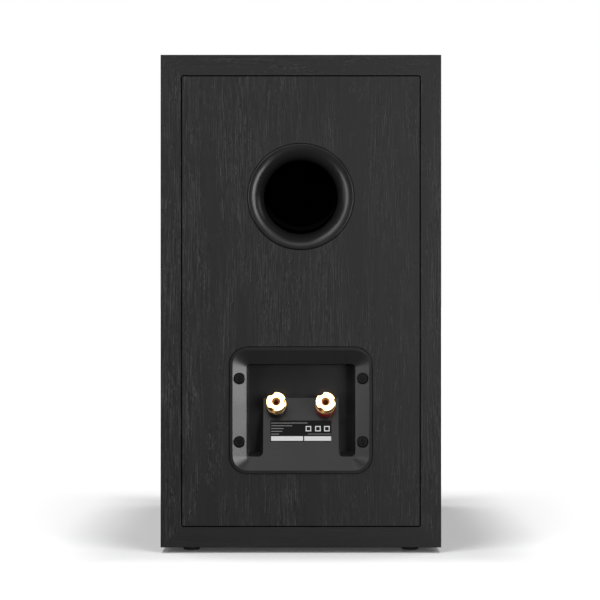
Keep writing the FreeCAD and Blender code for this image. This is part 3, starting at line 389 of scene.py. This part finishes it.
def print_ink(name, color):
    """Matte ink or blank writing field, slightly uneven."""
    s = Shader(name, color, 0.7)
    speck = s.noise(s.place(), 2400.0, 2.0)
    s.color(s.mix(speck, tuple(v * 0.93 for v in color), color))
    s.roughness(s.remap(speck, 0.3, 0.7, 0.64, 0.78))
    s.bump(speck, 0.000006, 0.3)
    return s.material


def insulation(name, color):
    """Soft sleeve of a hook-up wire."""
    s = Shader(name, color, 0.5)
    speck = s.noise(s.place(), 700.0, 3.0)
    s.color(s.mix(speck, tuple(v * 0.75 for v in color), color))
    s.roughness(s.remap(speck, 0.3, 0.7, 0.42, 0.58))
    s.bump(speck, 0.00003, 0.5)
    return s.material


def dress(names, material):
    """Gives CAD nodes their finish."""
    for name in names.split():
        slots = NODES[name].data.materials
        slots.clear()
        slots.append(material)


plastic = moulded_black("moulded_black", 0.022, 0.29)
port_plastic = moulded_black("port_black", 0.015, 0.27, 0.00001, REAR - PORT_SHADE_DEPTH)
gold = gold_plate("gold_plate", (1.0, 0.62, 0.27), (1.0, 0.70, 0.35))
# The studs' gold is painted darker and redder, as shade down the caps' bores.
painted_shade_stud_gold = gold_plate("stud_plate", (0.62, 0.26, 0.11), (0.78, 0.40, 0.19))
steel = bare_metal("plated_steel", (0.62, 0.61, 0.58), 0.32)
soft_black = rubber("surround_rubber", 0.012, 0.55)
pulp = paper_pulp("cone_pulp", (0.020, 0.019, 0.018), (0.10, 0.09, 0.08))
wadding_look = wadding("wadding_look")

# Each panel gets its own strength of pore relief and painted pore light: weakest on the bottom, and on the
# rear growing towards one side.
dress("left_side_panel right_side_panel", black_ash("ash_sides", "Z", (1.15, 1.4)))
dress("rear_panel", black_ash("ash_rear", "Z", (0.55, 1.2), 0.0150))
dress("top_panel", black_ash("ash_top", "X", (0.9, 0.9)))
dress("bottom_panel", black_ash("ash_bottom", "X", (0.32, 0.32)))
dress("front_baffle", moulded_black("baffle_lacquer", 0.016, 0.4, 0.00001))
dress("shelf_brace", fibreboard("raw_board", (0.36, 0.25, 0.14)))
dress("grille_frame", fibreboard("black_board", (0.018, 0.017, 0.016)))
dress("terminal_cup", plastic)
dress("port_tube", port_plastic)
dress("tweeter_faceplate tweeter_rear_cup", moulded_black("driver_black", 0.022, 0.42))
dress("woofer_terminals tweeter_terminals grille_pegs crossover_standoffs", plastic)
dress("terminal_gasket", rubber("seal_foam", 0.016, 0.9))
dress("terminal_screws", painted_steel("screw_black", 0.004, 0.5, 0.0, 0.25))
dress("woofer_screws tweeter_screws", painted_steel("driver_screws", 0.024, 0.36))
dress("rating_label", label_film("label_film"))
dress("positive_post_base", gloss_plastic("red_collar", (0.45, 0.012, 0.008)))
dress("negative_post_base", gloss_plastic("black_collar", (0.012, 0.012, 0.013)))
for side in ("positive", "negative"):
    dress(f"{side}_clamp_washer {side}_post_cap", gold)
    dress(f"{side}_post_stud", painted_shade_stud_gold)
dress("post_nuts post_solder_tabs", steel)
dress("woofer_basket", painted_steel("cast_frame", 0.022, 0.42))
motor = bare_metal("motor_steel", (0.46, 0.46, 0.48), 0.36)
dress("woofer_top_plate woofer_pole_piece tweeter_top_plate tweeter_pole_piece", motor)
dress("woofer_magnet tweeter_magnet", fibreboard("ferrite", (0.045, 0.044, 0.045)))
dress("woofer_cone woofer_dust_cap", pulp)
dress("woofer_trim_ring grille_sockets", soft_black)
dress("woofer_voice_coil tweeter_voice_coil", wound_wire("coil_wire", (0.55, 0.24, 0.12), 0.0003, "Y"))
dress("crossover_inductors", wound_wire("choke_wire", (0.60, 0.26, 0.12), 0.0009, "Z"))
dress("tweeter_dome", woven("dome_cloth", (0.022, 0.022, 0.024), 0.0005, 0.00003, 0.6, 0.4))
dress("rubber_feet", rubber("foot_rubber", 0.014, 0.7))
dress("crossover_board", circuit_board("circuit_board"))
dress("crossover_capacitors", gloss_plastic("capacitor_film", (0.45, 0.30, 0.05)))
dress("crossover_resistors", fibreboard("resistor_ceramic", (0.68, 0.66, 0.60)))
dress("input_leads woofer_leads tweeter_leads", insulation("lead_sleeve", (0.05, 0.012, 0.011)))


# --- mesh helpers ---
def new_piece(name, mesh, material, body):
    """Links a finished mesh as a piece, which rides on a body if one is given."""
    piece = bpy.data.objects.new(name, mesh)
    bpy.context.scene.collection.objects.link(piece)
    mesh.materials.append(material)
    if body:
        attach(piece, body)
    return piece


def smooth(mesh):
    """Shades every face of a mesh smoothly."""
    for polygon in mesh.polygons:
        polygon.use_smooth = True


def turned_piece(name, section, centre, steps=144):
    """A closed ring turned about Y from radius and y pairs, for the soft driver parts."""
    mesh = bpy.data.meshes.new(name)
    verts = []
    faces = []
    count = len(section)
    for step in range(steps):
        angle = 2.0 * math.pi * step / steps
        for radius, y in section:
            verts.append((centre[0] + radius * math.cos(angle), y, centre[1] + radius * math.sin(angle)))
    for step in range(steps):
        after = (step + 1) % steps
        for index in range(count):
            follow = (index + 1) % count
            here, there = step * count, after * count
            faces.append((here + index, here + follow, there + follow, there + index))
    mesh.from_pydata(verts, [], faces)
    mesh.update()
    return mesh


def bend_radially(piece):
    """Bakes the piece's placement into its mesh."""
    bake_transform(piece)


def centre_of(node):
    """The x and z of a round node's middle."""
    low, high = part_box(node)
    return ((low.x + high.x) / 2.0, (low.z + high.z) / 2.0)


# --- driver suspensions ---
def half_roll(name, node, centre, radii, thick, bulge):
    """A half-roll surround: lip, roll that bulges forwards, and the glued inner edge."""
    lip_radius, roll_outer, roll_inner, cone_radius = radii
    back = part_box(node)[1].y
    flat = back - thick
    middle = (roll_outer + roll_inner) / 2.0
    half = (roll_outer - roll_inner) / 2.0
    inner_half = half - thick
    angles = [math.pi * t / 16 for t in range(17)]
    outer_arc = [(middle + half * math.cos(a), flat - bulge * math.sin(a)) for a in angles]
    inner_arc = [(middle - inner_half * math.cos(a), back - bulge * math.sin(a)) for a in angles]
    section = [(lip_radius, back), (lip_radius, flat)] + outer_arc + [(cone_radius, flat)]
    section += [(cone_radius, back)] + inner_arc
    mesh = turned_piece(name, section, centre)
    smooth(mesh)
    piece = new_piece(name, mesh, soft_black, None)
    split = piece.modifiers.new("edges", "EDGE_SPLIT")
    split.split_angle = math.radians(40.0)
    return piece


def woofer_surround():
    """The rubber ring between the woofer's basket and its cone."""
    centre = centre_of("woofer_cone")
    roll_outer, roll_inner = 70 * MM, 58 * MM
    radii = (76.9 * MM, roll_outer, roll_inner, 54.2 * MM)
    piece = half_roll("woofer_surround_roll", "woofer_surround", centre, radii, 0.9 * MM, 6 * MM)
    bend_radially(piece)
    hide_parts("woofer_surround")


def tweeter_surround():
    """The narrow ring between the tweeter's faceplate and its dome."""
    centre = centre_of("tweeter_dome")
    roll_outer, dome_edge = 18 * MM, 14.1 * MM
    radii = (23.9 * MM, roll_outer, 14.6 * MM, 14.05 * MM)
    piece = half_roll("tweeter_surround_roll", "tweeter_surround", centre, radii, 0.5 * MM, 1.8 * MM)
    bend_radially(piece)
    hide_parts("tweeter_surround")


def woofer_spider():
    """The corrugated centring disc between coil and basket."""
    centre = centre_of("woofer_cone")
    inner, outer, ledge = 17.25 * MM, 45.9 * MM, 39 * MM
    rim, thick = 0.6 * MM, 0.35 * MM
    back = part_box("woofer_spider")[1].y
    front_line = []
    samples, waves, swing = 80, 5.0, 0.8 * MM
    for step in range(samples + 1):
        radius = inner + (ledge - inner) * step / samples
        wave = math.sin(2.0 * math.pi * waves * step / samples)
        front_line.append((radius, back - 1.15 * MM + wave * swing))
    front_line[-1] = (ledge, back - rim)
    section = front_line + [(outer, back - rim), (outer, back)]
    section += [(radius, y + thick) for radius, y in reversed(front_line[:-1])]
    mesh = turned_piece("woofer_spider_disc", section, centre, 96)
    smooth(mesh)
    cloth = woven("spider_cloth", (0.42, 0.27, 0.09), 0.0009, 0.00006)
    piece = new_piece("woofer_spider_disc", mesh, cloth, None)
    bend_radially(piece)
    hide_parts("woofer_spider")


# --- grille cloth ---
def rounded_ring(half_x, half_z, radius, corner_steps, side_steps):
    """Points round an upright rounded rectangle, evenly enough for a cloth mesh."""
    points = []
    corners = [(1, -1, -90.0), (1, 1, 0.0), (-1, 1, 90.0), (-1, -1, 180.0)]
    starts = []
    for sx, sz, first in corners:
        cx, cz = sx * (half_x - radius), sz * (half_z - radius)
        bend = []
        for step in range(corner_steps + 1):
            angle = math.radians(first + 90.0 * step / corner_steps)
            bend.append((cx + radius * math.cos(angle), cz + radius * math.sin(angle)))
        starts.append(bend)
    for index, bend in enumerate(starts):
        points += bend
        after = starts[(index + 1) % 4][0]
        last = bend[-1]
        count = side_steps[index % 2]
        for step in range(1, count):
            share = step / count
            points.append(
                (last[0] + (after[0] - last[0]) * share, last[1] + (after[1] - last[1]) * share)
            )
    return points


def cloth_sag(x, z):
    """How far the stretched cloth dips at a place, over the frame's two windows."""
    windows = [(37 * MM, 197 * MM), (215 * MM, 325 * MM)]
    half_width, deepest = 80 * MM, 0.4 * MM
    sag = 0.0
    for sill, lintel in windows:
        across = x / half_width
        up = (2.0 * z - sill - lintel) / (lintel - sill)
        dish = max(0.0, 1.0 - across * across) * max(0.0, 1.0 - up * up)
        sag = max(sag, deepest * dish)
    return sag


def grille_cloth():
    """Stretched speaker cloth, wrapped round the frame and glued behind its edge."""
    low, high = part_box("grille_cloth")
    clear = 0.05 * MM
    half_x = (high.x - low.x) / 2.0 - clear
    half_z = (high.z - low.z) / 2.0 - clear
    middle_z = (low.z + high.z) / 2.0
    corner, fold, back_fold, tight = 6.0 * MM, 1.6 * MM, 0.9 * MM, 0.8 * MM
    front, back = low.y + clear, high.y + 0.02 * MM
    side_steps = (40, 22)
    face_steps, fold_steps, edge_steps, back_steps, turn_in_steps = 26, 6, 6, 4, 3
    rings = []
    inner_limit = half_x - fold - 4.0 * MM
    for step in range(face_steps):
        inset = inner_limit * (1.0 - step / face_steps) + fold
        rings.append((half_x - inset, half_z - inset, max(corner - inset, tight), front))
    for step in range(fold_steps + 1):
        angle = math.pi / 2.0 * step / fold_steps
        inset = fold * (1.0 - math.sin(angle))
        y = front + fold * (1.0 - math.cos(angle))
        rings.append((half_x - inset, half_z - inset, max(corner - inset, tight), y))
    for step in range(1, edge_steps + 1):
        y = front + fold + (back - back_fold - front - fold) * step / edge_steps
        rings.append((half_x, half_z, corner, y))
    for step in range(1, back_steps + 1):
        angle = math.pi / 2.0 * step / back_steps
        inset = back_fold * (1.0 - math.cos(angle))
        y = back - back_fold + back_fold * math.sin(angle)
        rings.append((half_x - inset, half_z - inset, corner - inset, y))
    for step in range(1, turn_in_steps + 1):
        inset = back_fold + 2.4 * MM * step
        rings.append((half_x - inset, half_z - inset, max(corner - inset, tight), back))
    verts = []
    faces = []
    for ring_x, ring_z, radius, y in rings:
        for x, up in rounded_ring(ring_x, ring_z, radius, 6, side_steps):
            z = up + middle_z
            verts.append((x, y + cloth_sag(x, z) if y == front else y, z))
    count = len(verts) // len(rings)
    for ring in range(len(rings) - 1):
        for index in range(count):
            follow = (index + 1) % count
            a = ring * count
            b = a + count
            faces.append((a + index, a + follow, b + follow, b + index))
    faces.append(tuple(range(count))[::-1])
    mesh = bpy.data.meshes.new("grille_cloth_wrap")
    mesh.from_pydata(verts, [], faces)
    mesh.update()
    smooth(mesh)
    cloth = woven("grille_cloth_weave", (0.028, 0.028, 0.029), 0.0011, 0.00012, 0.88, 0.15)
    piece = new_piece("grille_cloth_wrap", mesh, cloth, "grille")
    solid = piece.modifiers.new("thickness", "SOLIDIFY")
    solid.thickness = 0.45 * MM
    solid.offset = 1.0
    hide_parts("grille_cloth")


# --- wadding ---
def quilted(name, low, high, body):
    """A soft block whose faces swell and dimple like carded wadding."""
    shell = bmesh.new()
    bmesh.ops.create_cube(shell, size=1.0)
    size = high - low
    middle = (low + high) / 2.0
    for vertex in shell.verts:
        vertex.co = vertex.co * size + middle
    bmesh.ops.subdivide_edges(shell, edges=shell.edges[:], cuts=22, use_grid_fill=True)
    shell.normal_update()
    thin = min(range(3), key=lambda axis: size[axis])
    for vertex in shell.verts:
        share = [abs(vertex.co[a] - middle[a]) / (size[a] / 2.0) for a in range(3)]
        edge = max(share[a] for a in range(3) if a != thin)
        pull = 1.0 - 0.45 * edge**6
        lump = 0.82 + 0.18 * noise.noise(vertex.co * 45.0)
        vertex.co[thin] = middle[thin] + (vertex.co[thin] - middle[thin]) * pull * lump
        for axis in range(3):
            if axis != thin:
                shrink = 0.985 + 0.012 * noise.noise(vertex.co * 30.0)
                vertex.co[axis] = middle[axis] + (vertex.co[axis] - middle[axis]) * shrink
    mesh = bpy.data.meshes.new(name)
    shell.to_mesh(mesh)
    shell.free()
    smooth(mesh)
    return new_piece(name, mesh, wadding_look, body)


def damping_wadding():
    """One pad on each side wall and one under the top, where the CAD blocks are."""
    low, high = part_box("damping_pads")
    thick, inset = 12 * MM, 10 * MM
    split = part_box("shelf_brace")[0].z - 8 * MM
    pads = [
        ("wadding_left", low, (low.x + thick, high.y, split)),
        ("wadding_right", (high.x - thick, low.y, low.z), (high.x, high.y, split)),
        ("wadding_top", (low.x + inset, low.y, high.z - thick), (high.x - inset, high.y, high.z)),
    ]
    for name, start, end in pads:
        pad = quilted(name, Vector(start), Vector(end), "cabinet")
        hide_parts("damping_pads")


# --- label print ---
def print_blocks(name, blocks, material):
    """Thin rectangles on the label: centre and size along x and down the slope."""
    low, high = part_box("rating_label")
    middle = (low + high) / 2.0
    down = Vector((0, math.sin(TONGUE_TILT), -math.cos(TONGUE_TILT)))
    out = Vector((0, math.cos(TONGUE_TILT), math.sin(TONGUE_TILT)))
    lift = 0.13 * MM
    thick = 0.03 * MM
    mesh_data = bmesh.new()
    for x, v, width, height in blocks:
        corners = []
        for level in (lift - thick, lift + thick):
            for sx, sv in ((-1, -1), (1, -1), (1, 1), (-1, 1)):
                spot = middle + Vector((x + sx * width / 2.0, 0, 0))
                spot = spot + down * (v + sv * height / 2.0) + out * level
                corners.append(mesh_data.verts.new(spot))
        a = corners
        for quad in ((3, 2, 1, 0), (4, 5, 6, 7), (0, 1, 5, 4), (1, 2, 6, 5), (2, 3, 7, 6), (3, 0, 4, 7)):
            mesh_data.faces.new([a[i] for i in quad])
    bmesh.ops.recalc_face_normals(mesh_data, faces=mesh_data.faces[:])
    mesh = bpy.data.meshes.new(name)
    mesh_data.to_mesh(mesh)
    mesh_data.free()
    return new_piece(name, mesh, material, "cabinet")


def label_print():
    """Two blank writing fields, plain rules and three squares, with no lettering."""
    white = print_ink("blank_field", (0.95, 0.95, 0.95))
    grey = print_ink("grey_rule", (0.30, 0.30, 0.305))
    fields = [
        (9.9 * MM, 5.6 * MM, 22.8 * MM, 3.4 * MM),
        (-12.0 * MM, 5.6 * MM, 19.3 * MM, 3.4 * MM),
    ]
    print_blocks("label_blank_fields", fields, white)
    rules = [(-13.3 * MM, 2.3 * MM, 16.6 * MM, 0.4 * MM)]
    margin, first_row, row_pitch = 21.3 * MM, -5.9 * MM, 2.05 * MM
    for row, width in enumerate((26 * MM, 15 * MM, 9 * MM, 8 * MM, 5.6 * MM)):
        rules.append((margin - width / 2.0, first_row + row_pitch * row, width, 0.5 * MM))
    print_blocks("label_rules", rules, grey)
    squares = []
    side, line, level = 4.0 * MM, 0.7 * MM, -1.7 * MM
    for x in (-5.4 * MM, -12.2 * MM, -18.6 * MM):
        for away in (-1, 1):
            reach = away * (side - line) / 2.0
            squares.append((x + reach, level, line, side))
            squares.append((x, level + reach, side - 2 * line, line))
    print_blocks("label_squares", squares, white)


woofer_surround()
tweeter_surround()
woofer_spider()
grille_cloth()
damping_wadding()
label_print()


# --- stage, light and camera ---
FILL = 0.03  # strength of the even light on the object
GLOW_NEAR, GLOW_FAR = 0.045, 0.22  # the floor's own painted light, beside the cabinet and away from it; weaker beside the cabinet, it paints a soft shadow there
GLOW_START, GLOW_END = 25 * MM, 85 * MM  # it grows between these distances from the cabinet
AIM_HEIGHT = 0.18  # the middle of the cabinet
LENS = 109.5  # the camera's focal length in millimetres
EYE_ASIDE, EYE_AWAY, EYE_HEIGHT = 0.64 * MM, 1.3, 0.1803  # the camera's place behind the rear face


def floor():
    """A plain white floor that takes the shadow and glows a little, less near the cabinet: the glow is
    painted light, and its dip near the cabinet paints a soft shadow round it.
    """
    mesh = bpy.data.meshes.new("floor")
    reach = 40.0
    mesh.from_pydata(
        [(-reach, -reach, 0), (reach, -reach, 0), (reach, reach, 0), (-reach, reach, 0)], [], [(0, 1, 2, 3)]
    )
    piece = bpy.data.objects.new("floor", mesh)
    bpy.context.scene.collection.objects.link(piece)
    s = Shader("floor_white", (0.9, 0.9, 0.9), 0.9, Specular_IOR_Level=0.0)
    s.shader.inputs["Emission Color"].default_value = (1, 1, 1, 1)
    x, y = xyz(s, s.place())[:2]
    beside = s.math("SUBTRACT", s.math("ABSOLUTE", x), RIGHT)
    behind = s.math("SUBTRACT", s.math("ABSOLUTE", y), REAR)
    away = s.math("MAXIMUM", beside, behind)
    # painted light: dim beside the cabinet as a painted shadow, brighter further out
    glow = s.remap(away, GLOW_START, GLOW_END, GLOW_NEAR, GLOW_FAR)
    s.put(s.shader.inputs["Emission Strength"], glow)
    mesh.materials.append(s.material)
    piece.visible_diffuse = False
    piece.visible_glossy = False
    return piece


def sky():
    """White behind the object, and a weak even fill on it."""
    world = bpy.data.worlds.new("studio")
    bpy.context.scene.world = world
    world.use_nodes = True
    tree = world.node_tree
    shade = tree.nodes["Background"]
    path = tree.nodes.new("ShaderNodeLightPath")
    level = tree.nodes.new("ShaderNodeMapRange")
    level.inputs["To Min"].default_value = FILL
    level.inputs["To Max"].default_value = 1.0
    tree.links.new(path.outputs["Is Camera Ray"], level.inputs["Value"])
    tree.links.new(level.outputs[0], shade.inputs["Strength"])
    shade.inputs["Color"].default_value = (1, 1, 1, 1)


def light_only(lamp, targets, state):
    """Keeps a light on some pieces alone, or off them."""
    chosen = bpy.data.collections.new(lamp.name)
    for index, target in enumerate(targets):
        chosen.objects.link(target)
        chosen.collection_objects[index].light_linking.link_state = state
    lamp.light_linking.receiver_collection = chosen


def softbox(name, side_degrees, elevation, power, size, tall=None, distance=1.6):
    """A soft light aimed at the cabinet, by its angle off the rear axis and its elevation."""
    lamp = bpy.data.lights.new(name, "AREA")
    lamp.shape = "ELLIPSE"
    lamp.size = size
    lamp.size_y = tall or size
    lamp.energy = power
    piece = bpy.data.objects.new(name, lamp)
    bpy.context.scene.collection.objects.link(piece)
    a, e = math.radians(side_degrees), math.radians(elevation)
    towards = Vector((-math.sin(a) * math.cos(e), math.cos(a) * math.cos(e), math.sin(e)))
    face = REAR if abs(side_degrees) < 90 else FRONT
    piece.location = Vector((0, face, AIM_HEIGHT)) + towards * distance
    piece.rotation_mode = "QUATERNION"
    piece.rotation_quaternion = towards.to_track_quat("Z", "Y")
    piece.visible_camera = False
    return piece


def sunlight(name, strength, size, sideways, forwards):
    """A distant light for the floor's shadow, tilted off upright by angles in degrees."""
    lamp = bpy.data.lights.new(name, "SUN")
    lamp.energy = strength
    lamp.angle = math.radians(size)
    piece = bpy.data.objects.new(name, lamp)
    bpy.context.scene.collection.objects.link(piece)
    a, e = math.radians(sideways), math.radians(forwards)
    towards = Vector((-math.tan(a), math.tan(e), 1.0))
    piece.rotation_mode = "QUATERNION"
    piece.rotation_quaternion = towards.to_track_quat("Z", "Y")
    return piece


ground = floor()
sky()
port = NODES["port_tube"]
caps = [NODES["positive_post_cap"], NODES["negative_post_cap"]]
# The keys shine on the cabinet's rear from either side.
keys = [
    softbox("key_right", 30, 0, 11.3, 0.7),
    softbox("key_left", -40, 0, 5.2, 0.7),
]
# The rest fill its edges, its top and its front.
others = [
    softbox("rim_left", -65, 2, 1.0, 0.7),
    softbox("rim_right", 78, 20, 1.4, 0.7),
    softbox("top_middle", 0, 32, 1.5, 0.7),
    softbox("top_right", 30, 35, 1.0, 0.7),
    softbox("top_left", -30, 35, 4.1, 0.7),
    softbox("front_right", 150, 12, 9.0, 0.9),
    softbox("front_left", -140, 25, 9.0, 0.9),
]
for key in keys:
    light_only(key, [ground, port], "EXCLUDE")
for lamp in others:
    light_only(lamp, [ground], "EXCLUDE")
# The port and the posts' caps have lights of their own, for the shine on them.
strips = [
    softbox("strip_right", 30, 7, 1.45, 0.2, 0.46, 0.6),
    softbox("strip_left", -40, 8, 1.0, 0.2, 0.46, 0.6),
]
for strip in strips:
    light_only(strip, [port], "INCLUDE")
light_only(softbox("cap_light", 0, 40, 2.0, 0.45), caps, "INCLUDE")
# The suns light the floor alone, and the cabinet casts its soft shadow in them.
suns = [
    sunlight("over_left", 0.68, 18.0, -14.0, 13.5),
    sunlight("over_right", 0.60, 18.0, 14.0, 13.5),
    sunlight("behind_left", 0.60, 10.0, -10.0, -4.9),
    sunlight("behind_right", 0.45, 10.0, 10.0, -4.9),
    sunlight("low_left", 1.08, 50.0, -60.0, 60.0),
    sunlight("low_right", 1.05, 50.0, 60.0, 60.0),
]
for sun in suns:
    light_only(sun, [ground], "INCLUDE")

camera_data = bpy.data.cameras.new("camera")
camera_data.sensor_width = 36.0
camera_data.lens = LENS
camera_data.clip_end = 200.0
camera = bpy.data.objects.new("camera", camera_data)
bpy.context.scene.collection.objects.link(camera)
camera.location = (EYE_ASIDE, REAR + EYE_AWAY, EYE_HEIGHT)
camera.rotation_euler = (math.radians(90.0), 0, math.radians(180.0))
bpy.context.scene.camera = camera
bpy.context.scene.view_settings.view_transform = "Standard"
